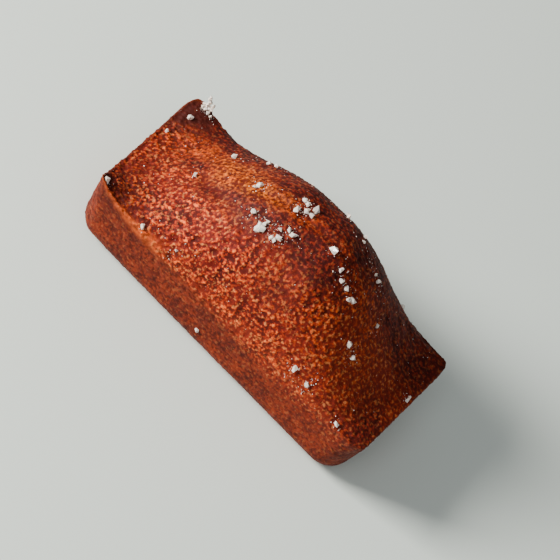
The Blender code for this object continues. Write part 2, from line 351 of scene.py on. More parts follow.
def rim_burn(x, y, away):
    """How dark the rim's thin edge is at a distance from it: darkest at the left end and at the back."""
    at_left = ramp(-x / HALF_LENGTH, *BURN_AT_LEFT)
    at_back = ramp(y / HALF_WIDTH, *BURN_AT_BACK)
    return RIM_BURN * max(at_left, at_back) * bump(away, RIM_BURN_REACH)


def towards_right(x):
    """0 along the left third of the cake and 1 along the right, where rim and wall melt into each other."""
    return ramp(x / HALF_LENGTH, *RIGHT_PART)


def round_reach(x):
    """How far from the rim its edge is rounded."""
    return ROUND_REACHES[0] + (ROUND_REACHES[1] - ROUND_REACHES[0]) * towards_right(x)


def lip_share(x, y):
    """How full and pale the lip of the rim is: most at the left of the front, and on the back left ear."""
    at_front = ramp(-y / HALF_WIDTH, *LIP_AT_FRONT) * (1 - ramp(x / HALF_LENGTH, *LIP_ENDING))
    burnt = corner_burn(x, y) if y < 0 else 0.0
    on_ear = LIP_ON_EAR * bump(math.hypot(x + HALF_LENGTH, y - HALF_WIDTH), LIP_ON_EAR_REACH)
    return min(LIP_ELSEWHERE + at_front * (1 - LIP_LOST_TO_BURN * burnt) + on_ear, 1.0)


def dark_patches(u, v):
    """How much darker the crust is painted at (u, v): partly toast, partly painted shade."""
    depths = [
        depth * bump((u - middle_u) / spread_u, 1.0) * bump((v - middle_v) / spread_v, 1.0)
        for middle_u, middle_v, spread_u, spread_v, depth in DARK_PATCHES
    ]
    return sum(depths)


def top_masks(x, y):
    """The masks at the place (x, y) of the top crust."""
    u = x / HALF_LENGTH
    v = y / HALF_WIDTH
    inside = from_rim(x, y)
    from_crest = (v - crest_line(u)) * HALF_WIDTH
    from_fold = (v - fold_line(u)) * HALF_WIDTH
    # Painted shade: a dark line along the fold and along the gutter inside the rim.
    crease_shade = bump(from_fold, FOLD_SHADE_WIDTH) * between(u, FOLD_ENDS)
    gutter = GUTTER_SHADE * bump(inside - GUTTER_OFFSET, GUTTER_SHADE_WIDTH)
    gutter *= 1 - GUTTER_SHADE_FADE * towards_right(x)
    gold_width = GOLD_WIDTHS[0] + (GOLD_WIDTHS[1] - GOLD_WIDTHS[0]) * ramp(u, *GOLD_NARROWING)
    gold = bump(from_crest, gold_width) * between(u, GOLD_ENDS) * (1 - GOLD_FADE * ramp(u, *GOLD_FADING))
    low, high = TOAST_HEIGHTS
    on_top = TOAST_AT_TOP * smooth((crust_height(x, y) - low) / (high - low)) * (1 - gold)
    # Behind the crest the crust is painted darker: painted shade on the side of the dome that turns from the
    # light.
    at_back = ramp(v - crest_line(u), *SHADE_BEHIND_CREST)
    toast_and_shade = min(max(at_back, on_top) + dark_patches(u, v), TOAST_AND_SHADE_AT_MOST)
    return {
        "gold": gold,
        "honey": bump(u - HONEY[0], HONEY[1]),
        "toast_and_shade": toast_and_shade,
        "calm": min(max(toast_and_shade, smooth(u / CALM_FROM_MIDDLE)), 1.0),
        "burn": max(corner_burn(x, y), rim_burn(x, y, inside)),
        "round": bump(inside, round_reach(x)),
        "rim": bump(inside, ROUND_REACHES[0]),
        "crease_shade": max(crease_shade, gutter),
        "lip": lip_share(x, y) * bump(inside, LIP_REACH),
        "sugar": max(sugar_thickness(u, v), STRAY_SUGAR),
    }


# %% Masks for the walls
WALL_STARTS = (0.0012, 0.0070)
WALL_BURN = 0.55
WALL_BURN_DROP = 0.0050
LIP_DROP = 0.0009
LIP_DROP_WIDTH = 0.0012
STILL_HEIGHT = 0.0012


def wall_masks(x, y, z, drop, above):
    """The masks on the wall, at a drop below the rim. Some carry on from the crust just above."""
    wall_start = WALL_STARTS[0] + (WALL_STARTS[1] - WALL_STARTS[0]) * towards_right(x)
    return {
        "wall": smooth(drop / wall_start),
        "burn": max(WALL_BURN * corner_burn(x, y) * bump(drop, WALL_BURN_DROP), rim_burn(x, y, drop)),
        "round": bump(drop, round_reach(x)),
        "rim": bump(drop, ROUND_REACHES[0]),
        "lip": lip_share(x, y) * bump(drop - LIP_DROP, LIP_DROP_WIDTH),
        "still": 1 - smooth(z / STILL_HEIGHT),
        "toast_and_shade": above["toast_and_shade"],
        "calm": above["calm"],
    }


# %% [markdown]
# ## Where the sugar fell
#
# The sugar was thrown by hand: it lies thick along the crest and thin elsewhere. A few crystals are caught on
# the rim, one sticks to the front wall, and some melted together into a small stack on the back left ear.
#
# A short table gives each patch its middle, its spread, its count and its range of sizes, and a seeded draw
# does the rest, with the same seed as the solid, so that every crystal sits on the bump that stands for it.

# %% The patches and places of the sugar
SUGAR_SEED = 11
# Patches: middle u and v, spread in u and v, count, and the smallest and largest size in metres.
SUGAR_PATCHES = (
    (-0.95, -0.93, 0.005, 0.01, 1, 0.0021, 0.0023),
    (-0.87, 0.93, 0.04, 0.02, 5, 0.0010, 0.0016),
    (-0.66, -0.11, 0.01, 0.02, 1, 0.0012, 0.0015),
    (-0.58, 0.45, 0.01, 0.02, 1, 0.0019, 0.0022),
    (-0.37, -0.02, 0.02, 0.08, 3, 0.0013, 0.0018),
    (-0.12, 0.02, 0.05, 0.10, 8, 0.0013, 0.0025),
    (-0.15, -0.44, 0.08, 0.08, 9, 0.0012, 0.0021),
    (-0.07, -0.32, 0.04, 0.03, 2, 0.0012, 0.0018),
    (0.15, -0.15, 0.01, 0.01, 1, 0.0024, 0.0026),
    (0.31, -0.22, 0.09, 0.09, 5, 0.0014, 0.0022),
    (0.57, -0.45, 0.04, 0.04, 2, 0.0016, 0.0021),
    (0.58, 0.06, 0.01, 0.01, 1, 0.0014, 0.0018),
    (0.35, 0.34, 0.15, 0.07, 4, 0.0010, 0.0016),
    (0.00, 0.65, 0.45, 0.14, 6, 0.0011, 0.0019),
    (-0.30, -0.385, 0.015, 0.01, 2, 0.0014, 0.0018),
    (-0.64, -0.955, 0.01, 0.005, 1, 0.0013, 0.0015),
    (-0.44, -0.955, 0.01, 0.005, 1, 0.0011, 0.0013),
    (0.43, -0.955, 0.01, 0.005, 1, 0.0018, 0.0019),
    (0.54, -0.955, 0.02, 0.005, 2, 0.0011, 0.0013),
    (0.785, -0.95, 0.01, 0.005, 1, 0.0017, 0.0018),
    (0.955, 0.14, 0.005, 0.06, 2, 0.0013, 0.0015),
)
# Rows along the rim: the edge and its sign, where along it they start and end, and their count.
SUGAR_ON_RIM = (
    ("side", 1, -0.60, 0.75, 5),
    ("end", -1, 0.25, 0.80, 2),
)
RIM_SUGAR_SIZES = (0.0012, 0.0020)
RIM_SUGAR_PLACE = (0.915, 0.955)
# How far a crystal's middle stands off the crust, as a share of its size.
SUGAR_STAND = 0.12
# The crystal on the front wall: its u, its share of the wall's height, and its size.
SUGAR_ON_WALL = (-0.08, 0.40, 0.0013)
# Crystals that melted together on the back left ear: their foot's u and v, then how far along and above it
# each one sits, and its size.
STACK_FOOT = (-0.89, 0.955)
SUGAR_STACK = (
    (-0.0013, 0.0007, 0.0012),
    (-0.0006, 0.0007, 0.0014),
    (0.0002, 0.0006, 0.0015),
    (0.0010, 0.0006, 0.0014),
    (0.0009, 0.0014, 0.0013),
    (0.0009, 0.0022, 0.0012),
    (-0.0002, 0.0014, 0.0015),
    (-0.0004, 0.0022, 0.0014),
    (-0.0007, 0.0029, 0.0013),
    (-0.0009, 0.0036, 0.0011),
    (-0.0011, 0.0042, 0.0010),
)
STRAY_SUGAR = 0.012
# Fine sugar lies round each patch: its least spread in u and v, how far past the patch it reaches, and the
# crowd of crystals for each unit of u and v that makes it as thick as it gets.
DUST_SPREAD_U, DUST_SPREAD_V = 0.03, 0.06
DUST_REACH = 1.2
FULL_CROWD = 1200


def sugar_places():
    """Where each thrown crystal sits, and how large it is: a list of (u, v, size)."""
    draw = random.Random(SUGAR_SEED)
    places = []
    for u, v, spread_u, spread_v, count, small, large in SUGAR_PATCHES:
        for _ in range(count):
            place_u = u + spread_u * draw.uniform(-1, 1)
            place_v = v + spread_v * draw.uniform(-1, 1)
            places.append((place_u, place_v, draw.uniform(small, large)))
    for kind, sign, start, end, count in SUGAR_ON_RIM:
        for k in range(count):
            along = start + (end - start) * (k + draw.uniform(0.1, 0.9)) / count
            across = sign * draw.uniform(*RIM_SUGAR_PLACE)
            place = (along, across) if kind == "side" else (across, along)
            places.append((*place, draw.uniform(*RIM_SUGAR_SIZES)))
    return places


def sugar_thickness(u, v):
    """How thickly fine sugar lies at (u, v): from 0 to about 1."""
    thickness = 0.0
    for middle_u, middle_v, spread_u, spread_v, count, _, _ in SUGAR_PATCHES:
        wide_u, wide_v = max(spread_u, DUST_SPREAD_U), max(spread_v, DUST_SPREAD_V)
        crowd = count / (wide_u * wide_v) / FULL_CROWD
        thickness += crowd * bump(u - middle_u, DUST_REACH * wide_u) * bump(v - middle_v, DUST_REACH * wide_v)
    return min(thickness, 1.0)


print(len(sugar_places()), "crystals were thrown on the crust and the rim")

# %% [markdown]
# ## The bare skin
#
# The top is a grid, like a cloth laid over the dome. From its edge, rings of points run down the wall and
# round the lower edge, and one flat face closes the base. Its points are about a third of a millimetre apart,
# because the grain of the crust is about a millimetre wide.

# %% The rows of the top, and the rings below it
ROWS_ALONG = 262
ROWS_ACROSS = 196
WALL_STEPS = 24
FILLET_STEPS = 10
END_CROWDING = 0.12
SIDE_CROWDING = 0.55
WALL_CROWDING = 1.25


def rows_along():
    """Places from -1 to 1 that gather a little towards both ends."""
    steps = [2 * i / ROWS_ALONG - 1 for i in range(ROWS_ALONG + 1)]
    return [(1 + END_CROWDING) * s - END_CROWDING * s**3 for s in steps]


def rows_across():
    """Places from -1 to 1 that gather at the sides, where the dome is steepest."""
    steps = [2 * j / ROWS_ACROSS - 1 for j in range(ROWS_ACROSS + 1)]
    return [SIDE_CROWDING * math.sin(math.pi / 2 * s) + (1 - SIDE_CROWDING) * s for s in steps]


def top_edge():
    """The rows that meet at each point of the top's edge, once round."""
    edge = [(i, 0) for i in range(ROWS_ALONG)]
    edge += [(ROWS_ALONG, j) for j in range(ROWS_ACROSS)]
    edge += [(i, ROWS_ACROSS) for i in range(ROWS_ALONG, 0, -1)]
    edge += [(0, j) for j in range(ROWS_ACROSS, 0, -1)]
    return edge


def rings_below(outline):
    """Rings of points below an outline of (u, v): down the wall, then round the lower edge."""
    fillet_start = BASE_FILLET / WALL_HEIGHT
    drops = [(step / WALL_STEPS) ** WALL_CROWDING for step in range(1, WALL_STEPS)]
    heights = [1 - (1 - fillet_start) * drop for drop in drops]
    turns = [step / FILLET_STEPS for step in range(FILLET_STEPS + 1)]
    rings = [[wall_point(u, v, height) for u, v in outline] for height in heights]
    rings += [[fillet_point(u, v, turn) for u, v in outline] for turn in turns]
    return rings


# %% Build the bare skin with its masks
def bare_skin():
    """The closed skin of the cake, with its masks as attributes."""
    us, vs = rows_along(), rows_across()
    points, masks = [], []
    for u in us:
        for v in vs:
            x, y = rim_plan(u, v)
            points.append((x, y, crust_height(x, y)))
            masks.append(top_masks(x, y))
    across = ROWS_ACROSS + 1
    faces = [
        (i * across + j, (i + 1) * across + j, (i + 1) * across + j + 1, i * across + j + 1)
        for i in range(ROWS_ALONG)
        for j in range(ROWS_ACROSS)
    ]

    edge = top_edge()
    upper = [i * across + j for i, j in edge]
    rims = [points[k][2] for k in upper]
    above = [masks[k] for k in upper]
    for ring in rings_below([(us[i], vs[j]) for i, j in edge]):
        lower = range(len(points), len(points) + len(ring))
        for k, (x, y, z) in enumerate(ring):
            after = (k + 1) % len(ring)
            faces.append((upper[k], lower[k], lower[after], upper[after]))
            masks.append(wall_masks(x, y, z, rims[k] - z, above[k]))
        points += ring
        upper = lower
    faces.append(tuple(reversed(upper)))

    mesh = bpy.data.meshes.new("crust")
    mesh.from_pydata(points, [], faces)
    for name in MASKS:
        values = [mask.get(name, 0.0) for mask in masks]
        mesh.attributes.new(name, "FLOAT", "POINT").data.foreach_set("value", values)
    return mesh


skin = bare_skin()
print("the bare skin has", len(skin.vertices), "points")

# %% [markdown]
# ## Helpers for node trees
#
# The relief, the sugar and the crumbs are each grown by a Geometry Nodes tree, and each finish is a shader
# tree. Both kinds are wired the same way: add a node, then link or set its inputs.


# %% Wire nodes
def add(tree, kind, values=None, **settings):
    """Adds a node. Values go to its inputs by name or number: sockets are linked, and all else is set."""
    made = tree.nodes.new(kind)
    for name, value in settings.items():
        setattr(made, name, value)
    for key, value in (values or {}).items():
        if isinstance(value, bpy.types.NodeSocket):
            tree.links.new(value, made.inputs[key])
        else:
            made.inputs[key].default_value = value
    return made


def maths(tree, operation, *values):
    """A sum, product or other step on numbers. Returns its output."""
    return add(tree, "ShaderNodeMath", dict(enumerate(values)), operation=operation).outputs[0]


def remap(tree, value, low, high, to_low=0.0, to_high=1.0):
    """Stretches low..high to to_low..to_high, and holds the ends."""
    values = {"Value": value, "From Min": low, "From Max": high, "To Min": to_low, "To Max": to_high}
    return add(tree, "ShaderNodeMapRange", values).outputs["Result"]


def cloud_noise(tree, place, size, detail=2.0):
    """Soft noise at a place, with clouds about as wide as the size."""
    values = {"Vector": place, "Scale": 1 / size, "Detail": detail}
    return add(tree, "ShaderNodeTexNoise", values).outputs["Fac"]


# %% Make a tree of Geometry Nodes, and use one
def new_tree(name, sizes):
    """A tree with a geometry input and named number inputs. Returns the tree and its input node."""
    tree = bpy.data.node_groups.new(name, "GeometryNodeTree")
    tree.interface.new_socket("Geometry", in_out="INPUT", socket_type="NodeSocketGeometry")
    for label, value in sizes.items():
        kind = "NodeSocketInt" if isinstance(value, int) else "NodeSocketFloat"
        tree.interface.new_socket(label, in_out="INPUT", socket_type=kind).default_value = value
    tree.interface.new_socket("Geometry", in_out="OUTPUT", socket_type="NodeSocketGeometry")
    return tree, tree.nodes.new("NodeGroupInput")


def stored(tree, name):
    """A number that the mesh stores for each of its points."""
    values = {"Name": name}
    return add(tree, "GeometryNodeInputNamedAttribute", values, data_type="FLOAT").outputs["Attribute"]


def end_tree(tree, geometry, material):
    """Ends a tree: instances become real, and the result gets its material."""
    real = add(tree, "GeometryNodeRealizeInstances", {"Geometry": geometry})
    dressed = add(tree, "GeometryNodeSetMaterial", {"Geometry": real.outputs[0], "Material": material})
    add(tree, "NodeGroupOutput", {0: dressed.outputs[0]})


def grow(name, mesh, tree, **sizes):
    """A new object with the plain mesh that a tree makes of another, kept inside the solid's box."""
    seed = bpy.data.objects.new(name, mesh)
    bpy.context.scene.collection.objects.link(seed)
    modifier = seed.modifiers.new(tree.name, "NODES")
    modifier.node_group = tree
    inputs = {s.name: s.identifier for s in tree.interface.items_tree if s.in_out == "INPUT"}
    for label, value in sizes.items():
        modifier[inputs[label.replace("_", " ")]] = value
    graph = bpy.context.evaluated_depsgraph_get()
    grown = bpy.data.meshes.new_from_object(seed.evaluated_get(graph))
    seed.modifiers.remove(modifier)
    places = np.empty(3 * len(grown.vertices), np.float32)
    grown.vertices.foreach_get("co", places)
    places = places.reshape(-1, 3).clip(np.array(CAD_LOW), np.array(CAD_HIGH))
    grown.vertices.foreach_set("co", places.ravel())
    grown.update()
    grown.name = name
    seed.data = grown
    return seed


# %% [markdown]
# ## The finish of the crust
#
# A baked crust isn't one brown. Its grains catch the heat, and the colour drifts over a few millimetres. Its
# pits are painted darker and its grains lighter after the relief: partly the crust's own tone, partly painted
# shade and light. The shader reads the relief and the masks from the mesh, and lays colour over colour by
# them: pits and grains first, then the golden crest, the toast with its painted shade, the walls, pale flecks
# painted as glints of light, the burnt edges and the lip. The finest grain, too small for the mesh, is a
# bump.

# %% Colours as seen on a screen, from 0 to 255
def tone(red, green, blue):
    """A screen colour as the linear colour that a shader works in."""
    return (*[((part / 255 + 0.055) / 1.055) ** 2.4 for part in (red, green, blue)], 1.0)


# Pit and pore colours carry painted shade, and grain colours painted light, laid on by the relief.
CRUST_PIT = tone(62, 10, 5)
CRUST_BODY = tone(150, 38, 8)
CRUST_GRAIN = tone(244, 102, 24)
CRUST_RED = tone(112, 20, 8)
CALM_BROWN = tone(120, 34, 14)
GOLD_PIT = tone(84, 24, 0)
GOLD_GRAIN = tone(180, 60, 0)
HONEY_GRAIN = tone(208, 106, 0)
# Browns of the toast, also laid on as painted shade behind the crest, in dark patches and along the creases.
TOAST_AND_SHADE_BROWN = tone(76, 13, 6)
TOAST_AND_SHADE_PIT = tone(52, 8, 4)
TOAST_AND_SHADE_GRAIN = tone(124, 36, 14)
BURNT = tone(56, 13, 6)
WALL_BROWN = tone(128, 42, 14)
WALL_RED = tone(70, 16, 8)
WALL_PORE = tone(56, 12, 3)
LIP_BROWN = tone(186, 76, 22)
# Pale flecks painted as glints of light on the crust.
GLINT_FLECK = tone(230, 144, 80)

# How wide the clouds are that each colour drifts by, in metres.
SPECK_SIZE = 0.00084
RED_DRIFT = 0.0065
GOLD_DRIFT = 0.0042
TOAST_AND_SHADE_DRIFT = 0.0050
WALL_DRIFTS = (0.0055, 0.0012)
FLECK_SIZE = 0.0009
BURN_DRIFT = 0.0030
LIP_DRIFT = 0.0022
FINEST_GRAIN = 0.00045
FINEST_GRAIN_HEIGHT = 0.00016
DULLEST, GLOSSIEST = 0.78, 0.50


# %% Read a mask, and lay one colour over another
def mask_of(tree, name):
    """The value of a mask, in a shader."""
    return add(tree, "ShaderNodeAttribute", attribute_name=name).outputs["Fac"]


def blend(tree, factor, under, over):
    """Lays one colour over another by a factor."""
    node = add(tree, "ShaderNodeMix", {"Factor": factor}, data_type="RGBA")
    for socket, colour in ((node.inputs[6], under), (node.inputs[7], over)):
        if isinstance(colour, bpy.types.NodeSocket):
            tree.links.new(colour, socket)
        else:
            socket.default_value = colour
    return node.outputs[2]


# %% The colours of the crust, one over another
# Each function draws on clouds of noise and on the shade of the grain, which runs from about -1 in a pit to
# 1 on a grain. The shade paints pits darker and grains lighter: painted shade and light after the relief.
# Those whose names start with "with" lay their colours over the one given as under.
def grainy_brown(tree, cloud, shade):
    """The plain crust: pits painted dark and grains painted light by the shade of the grain, brown between
    them, and drifts of red.
    """
    colour = blend(tree, remap(tree, shade, -0.8, 0.15), CRUST_PIT, CRUST_BODY)
    colour = blend(tree, remap(tree, shade, 0.05, 0.9), colour, CRUST_GRAIN)
    colour = blend(tree, remap(tree, cloud(RED_DRIFT), 0.42, 0.66, 0.0, 0.55), colour, CRUST_RED)
    return blend(tree, maths(tree, "MULTIPLY", mask_of(tree, "calm"), 0.6), colour, CALM_BROWN)


def with_golden_crest(tree, cloud, shade, under):
    """The golden crest, with its honey-coloured stretch."""
    golden = blend(tree, mask_of(tree, "honey"), GOLD_GRAIN, HONEY_GRAIN)
    golden = blend(tree, remap(tree, shade, -0.7, 0.7), GOLD_PIT, golden)
    thick = remap(tree, cloud(GOLD_DRIFT), 0.34, 0.60, 0.45, 0.95)
    return blend(tree, maths(tree, "MULTIPLY", mask_of(tree, "gold"), thick), under, golden)


def with_toast_and_shade(tree, toast_and_shade, shade, under):
    """Toast with pits and grains of its own, also laid on as painted shade behind the crest and in dark
    patches, and the creases darkened as painted shade.
    """
    toast_and_shade_colour = blend(tree, remap(tree, shade, -0.7, 0.1), TOAST_AND_SHADE_PIT, TOAST_AND_SHADE_BROWN)
    toast_and_shade_colour = blend(tree, remap(tree, shade, 0.0, 0.8), toast_and_shade_colour, TOAST_AND_SHADE_GRAIN)
    colour = blend(tree, toast_and_shade, under, toast_and_shade_colour)
    # The creases get painted shade, in the brown of the toast.
    return blend(tree, maths(tree, "MULTIPLY", mask_of(tree, "crease_shade"), 0.65), colour, TOAST_AND_SHADE_BROWN)


def wall_brown(tree, cloud, shade):
    """The mottled walls, with small pores painted dark by the shade of the grain, as painted shade."""
    mottle = maths(tree, "ADD", cloud(WALL_DRIFTS[0], 3.0), cloud(WALL_DRIFTS[1], 3.0))
    colour = blend(tree, remap(tree, mottle, 0.72, 1.28), WALL_RED, WALL_BROWN)
    return blend(tree, remap(tree, shade, -0.3, -1.1, 0.0, 0.7), colour, WALL_PORE)


def with_painted_glints(tree, cloud, shade, toast_and_shade, under):
    """Pale flecks painted as glints of light, fewer on the crest, the walls and where toast and painted shade
    lie.
    """
    fleck = maths(tree, "MULTIPLY_ADD", shade, 0.06, cloud(FLECK_SIZE))
    fleck = remap(tree, fleck, 0.54, 0.68, 0.0, 0.42)
    other = maths(tree, "MAXIMUM", mask_of(tree, "gold"), mask_of(tree, "wall"))
    plain = remap(tree, maths(tree, "MAXIMUM", other, toast_and_shade), 0.0, 1.0, 1.0, 0.25)
    return blend(tree, maths(tree, "MULTIPLY", fleck, plain), under, GLINT_FLECK)


def with_edges(tree, cloud, under):
    """The burnt corners and rim, and the pale lip."""
    patch = remap(tree, cloud(BURN_DRIFT, 3.0), 0.30, 0.62, 0.65, 1.20)
    colour = blend(tree, maths(tree, "MULTIPLY", mask_of(tree, "burn"), patch), under, BURNT)
    pale = remap(tree, cloud(LIP_DRIFT), 0.35, 0.60, 0.45, 0.85)
    return blend(tree, maths(tree, "MULTIPLY", mask_of(tree, "lip"), pale), colour, LIP_BROWN)


# %% Make the crust's material
def crust_material():
    """Browned crust, whose colour follows its relief and its masks."""
    material = bpy.data.materials.new("crust")
    material.use_nodes = True
    tree = material.node_tree
    shader = tree.nodes["Principled BSDF"]
    place = add(tree, "ShaderNodeTexCoord").outputs["Object"]

    def cloud(size, detail=2.0):
        return cloud_noise(tree, place, size, detail)

    # The shade is the relief, weaker where the crust is calm, with fine specks added. It paints pits darker
    # and grains lighter: painted shade and light.
    relief = mask_of(tree, "relief")
    speck = remap(tree, cloud(SPECK_SIZE), 0.36, 0.64, -0.8, 0.8)
    depth = remap(tree, mask_of(tree, "calm"), 0.0, 1.0, 0.90, 0.45)
    shade = maths(tree, "MULTIPLY_ADD", relief, depth, speck)
    # How deep the toast and the painted shade lie, drifting in clouds.
    deep = remap(tree, cloud(TOAST_AND_SHADE_DRIFT), 0.34, 0.66, 0.60, 1.0)
    toast_and_shade = maths(tree, "MULTIPLY", mask_of(tree, "toast_and_shade"), deep)

    top = with_golden_crest(tree, cloud, shade, grainy_brown(tree, cloud, shade))
    top = with_toast_and_shade(tree, toast_and_shade, shade, top)
    colour = blend(tree, mask_of(tree, "wall"), top, wall_brown(tree, cloud, shade))
    colour = with_painted_glints(tree, cloud, shade, toast_and_shade, colour)
    colour = with_edges(tree, cloud, colour)

    values = {"Height": cloud(FINEST_GRAIN, 3.0), "Strength": 0.55, "Distance": FINEST_GRAIN_HEIGHT}
    grain = add(tree, "ShaderNodeBump", values)
    tree.links.new(grain.outputs[0], shader.inputs["Normal"])
    tree.links.new(colour, shader.inputs["Base Color"])
    tree.links.new(remap(tree, relief, -1.0, 1.0, DULLEST, GLOSSIEST), shader.inputs["Roughness"])
    shader.inputs["Specular IOR Level"].default_value = 0.14
    return material


CRUST = crust_material()

# %% [markdown]
# ## The grain of the crust
#
# Almond meal bakes into small rounded grains with pits between them. A Voronoi texture gives the grains, one
# cell for each, and noise textures sink the pits and lift broad lumps. The tree first eases the edge of the
# rim. Then it moves every point of the skin along its normal by the sum, less on the walls, which the mould
# pressed smooth, less where the crust is calm, and not at all where the cake stands.
#
# A bump in the shader would be cheaper, but it would leave the outline and the shadows smooth.

# %% The parts of the relief
def ease_rim(tree, given, place):
    """Rounds the edge of the rim, by blurring the places of its points."""
    values = {"Value": place, "Iterations": given.outputs["Rim Softening"], "Weight": stored(tree, "round")}
    eased = add(tree, "GeometryNodeBlurAttribute", values, data_type="FLOAT_VECTOR").outputs[0]
    values = {"Geometry": given.outputs["Geometry"], "Position": eased}
    return add(tree, "GeometryNodeSetPosition", values).outputs[0]


def grain_lump_pit(tree, given, place):
    """Grains and lumps, each from -1 to 1, and pits, from 0 to 1."""

    def scale(label):
        return maths(tree, "DIVIDE", 1.0, given.outputs[label])

    values = {"Vector": place, "Scale": scale("Grain Size"), "Smoothness": 0.35}
    cells = add(tree, "ShaderNodeTexVoronoi", values, feature="SMOOTH_F1")
    grain = remap(tree, cells.outputs["Distance"], 0.08, 0.62, 1.0, -1.0)
    values = {"Vector": place, "Scale": scale("Lump Size"), "Detail": 3.0}
    lump = remap(tree, add(tree, "ShaderNodeTexNoise", values).outputs["Fac"], 0.25, 0.75, -1.0, 1.0)
    values = {"Vector": place, "Scale": scale("Pit Size"), "Detail": 2.0, "Roughness": 0.6}
    pit = remap(tree, add(tree, "ShaderNodeTexNoise", values).outputs["Fac"], 0.56, 0.70)
    return grain, lump, pit


def share_of_grain(tree, given):
    """How much of the grain a place has: all of it on the plain crust, and none at the foot."""
    share = maths(tree, "SUBTRACT", 1.0, stored(tree, "still"))
    for mask, label in (("wall", "Wall Share"), ("calm", "Calm Share")):
        here = remap(tree, stored(tree, mask), 0.0, 1.0, 1.0, given.outputs[label])
        share = maths(tree, "MULTIPLY", share, here)
    return share


# %% Grow the grain on the skin
# Sizes, heights and depths are in metres, shares are parts of 1, and the softening counts blurring steps.
GRAIN_SIZES = {
    "Grain Size": 0.00105,
    "Grain Height": 0.00040,
    "Lump Size": 0.0034,
    "Lump Height": 0.00036,
    "Pit Size": 0.0019,
    "Pit Depth": 0.00042,
    "Wall Share": 0.40,
    "Calm Share": 0.50,
    "Rim Softening": 40,
}


def grain_tree():
    """A tree that gives the skin its grains, pits and lumps, and stores the relief for the shader."""
    tree, given = new_tree("crust grain", GRAIN_SIZES)
    place = add(tree, "GeometryNodeInputPosition").outputs[0]
    outwards = add(tree, "GeometryNodeInputNormal").outputs[0]
    soft = ease_rim(tree, given, place)
    grain, lump, pit = grain_lump_pit(tree, given, place)

    grain_lift = maths(tree, "MULTIPLY", grain, maths(tree, "MULTIPLY", given.outputs["Grain Height"], 0.5))
    lump_lift = maths(tree, "MULTIPLY", lump, maths(tree, "MULTIPLY", given.outputs["Lump Height"], 0.5))
    height = maths(tree, "ADD", grain_lift, lump_lift)
    height = maths(tree, "SUBTRACT", height, maths(tree, "MULTIPLY", pit, given.outputs["Pit Depth"]))
    height = maths(tree, "MULTIPLY", height, share_of_grain(tree, given))

    relief = maths(tree, "MULTIPLY_ADD", grain, 0.7, maths(tree, "MULTIPLY", lump, 0.3))
    relief = maths(tree, "SUBTRACT", relief, pit)
    values = {"Geometry": soft, "Name": "relief", "Value": relief}
    marked = add(tree, "GeometryNodeStoreNamedAttribute", values, data_type="FLOAT", domain="POINT")
    lift = add(tree, "ShaderNodeVectorMath", {0: outwards, "Scale": height}, operation="SCALE").outputs[0]
    raised = add(tree, "GeometryNodeSetPosition", {"Geometry": marked.outputs[0], "Offset": lift})
    end_tree(tree, raised.outputs[0], CRUST)
    return tree


crust = grow("cake_crust", skin, grain_tree())
crust.data.shade_smooth()
print("the crust has", len(crust.data.vertices), "points and", len(crust.data.polygons), "faces")

# %% [markdown]
# ## Sugar crystals
#
# Coarse sugar is made of blunt, clear blocks with a frosted skin, each a little different. Points drawn at
# random in a box, wrapped in their convex hull, give just such blocks. A few hulls are enough: each crystal
# takes one of them, turned at random and as large as its place in the table says.

# %% The finish of sugar
FROSTED_SUGAR = tone(255, 250, 244)
CLEAR_SUGAR = tone(250, 232, 214)
FROST_SIZE = 0.0011


def sugar_material():
    """Clear sugar with a frosted skin."""
    material = bpy.data.materials.new("sugar")
    material.use_nodes = True
    tree = material.node_tree
    shader = tree.nodes["Principled BSDF"]
    place = add(tree, "ShaderNodeTexCoord").outputs["Object"]
    cloud = cloud_noise(tree, place, FROST_SIZE)
    frost = blend(tree, remap(tree, cloud, 0.35, 0.65), FROSTED_SUGAR, CLEAR_SUGAR)
    tree.links.new(frost, shader.inputs["Base Color"])
    tree.links.new(remap(tree, cloud, 0.3, 0.7, 0.08, 0.30), shader.inputs["Roughness"])
    shader.inputs["IOR"].default_value = 1.5
    shader.inputs["Transmission Weight"].default_value = 0.30
    return material


SUGAR = sugar_material()


# %% Grow crystals on points
def hulls(tree, kinds, corners, seed):
    """A few blunt blocks, each the convex hull of random points in a unit box, as one set of instances."""
    gather = add(tree, "GeometryNodeGeometryToInstance")
    for kind in range(kinds):
        key = maths(tree, "ADD", seed, float(kind))
        values = {0: (-0.5, -0.42, -0.36), 1: (0.5, 0.42, 0.36), "Seed": key}
        spot = add(tree, "FunctionNodeRandomValue", values, data_type="FLOAT_VECTOR").outputs[0]
        cloud = add(tree, "GeometryNodePoints", {"Count": corners, "Position": spot})
        wrap = add(tree, "GeometryNodeConvexHull", {"Geometry": cloud.outputs[0]})
        tree.links.new(wrap.outputs[0], gather.inputs[0])
    return gather.outputs[0]


def random_number(tree, low, high, seed, kind="FLOAT"):
    """A different random number, whole number or vector for each point."""
    node = add(tree, "FunctionNodeRandomValue", {"Seed": seed}, data_type=kind)
    sockets = {"FLOAT_VECTOR": (0, 1, 0), "FLOAT": (2, 3, 1), "INT": (4, 5, 2)}[kind]
    for place, value in zip(sockets[:2], (low, high)):
        if isinstance(value, bpy.types.NodeSocket):
            tree.links.new(value, node.inputs[place])
        else:
            node.inputs[place].default_value = value
    return node.outputs[sockets[2]]


def set_on_points(tree, points, blocks, kinds, size, seed):
    """Puts one of the blocks on every point, turned and sized."""
    turn = random_number(tree, (0.0, 0.0, 0.0), (math.tau, math.tau, math.tau), seed, "FLOAT_VECTOR")
    values = {
        "Points": points,
        "Instance": blocks,
        "Pick Instance": True,
        "Instance Index": random_number(tree, 0, kinds - 1, seed, "INT"),
        "Rotation": turn,
        "Scale": size,
    }
    return add(tree, "GeometryNodeInstanceOnPoints", values).outputs[0]


CRYSTAL_KINDS = 6


